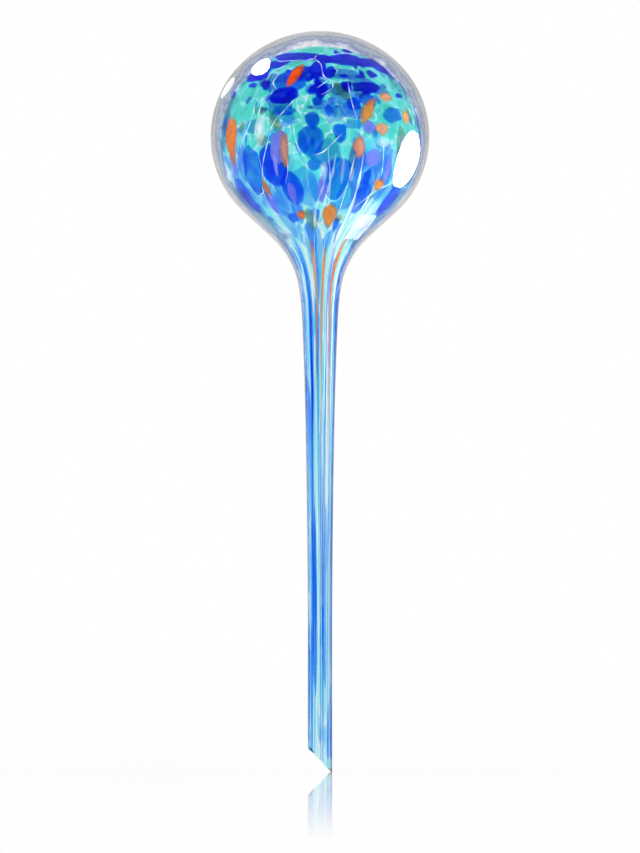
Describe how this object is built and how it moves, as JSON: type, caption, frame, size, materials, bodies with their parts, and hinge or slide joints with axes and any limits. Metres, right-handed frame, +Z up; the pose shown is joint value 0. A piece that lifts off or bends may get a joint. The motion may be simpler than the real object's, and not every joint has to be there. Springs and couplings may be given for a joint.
{
  "type": "watering globe",
  "caption": "Hollow hand-blown glass bulb drawn out into a long hollow stem with a slanted foot, filled with water and pushed upright into potting soil.",
  "frame": {"origin": "on the globe's axis, at the height of the stem's lowest point", "axes": "+Z up the axis from the stem's foot to the crown of the bulb, +X towards the long side of the slanted foot, front at -Y"},
  "size_m": [0.08, 0.08, 0.2705],
  "materials": {
    "clear_glass": "clear, fire polished",
    "aqua_glass": "transparent aqua, mottled",
    "cobalt_glass": "deep transparent cobalt blue",
    "blue_glass": "transparent mid blue",
    "lilac_glass": "translucent lilac",
    "amber_glass": "translucent amber",
    "opal_glass": "milky white, translucent"
  },
  "bodies": {
    "root": {"clear_casing": "clear_glass", "aqua_bubble": "aqua_glass", "cobalt_chips": "cobalt_glass", "blue_chips": "blue_glass", "lilac_chips": "lilac_glass", "amber_chips": "amber_glass", "opal_chips": "opal_glass", "cobalt_streaks": "cobalt_glass", "blue_streaks": "blue_glass", "amber_streaks": "amber_glass", "opal_streaks": "opal_glass"}
  },
  "joints": []
}
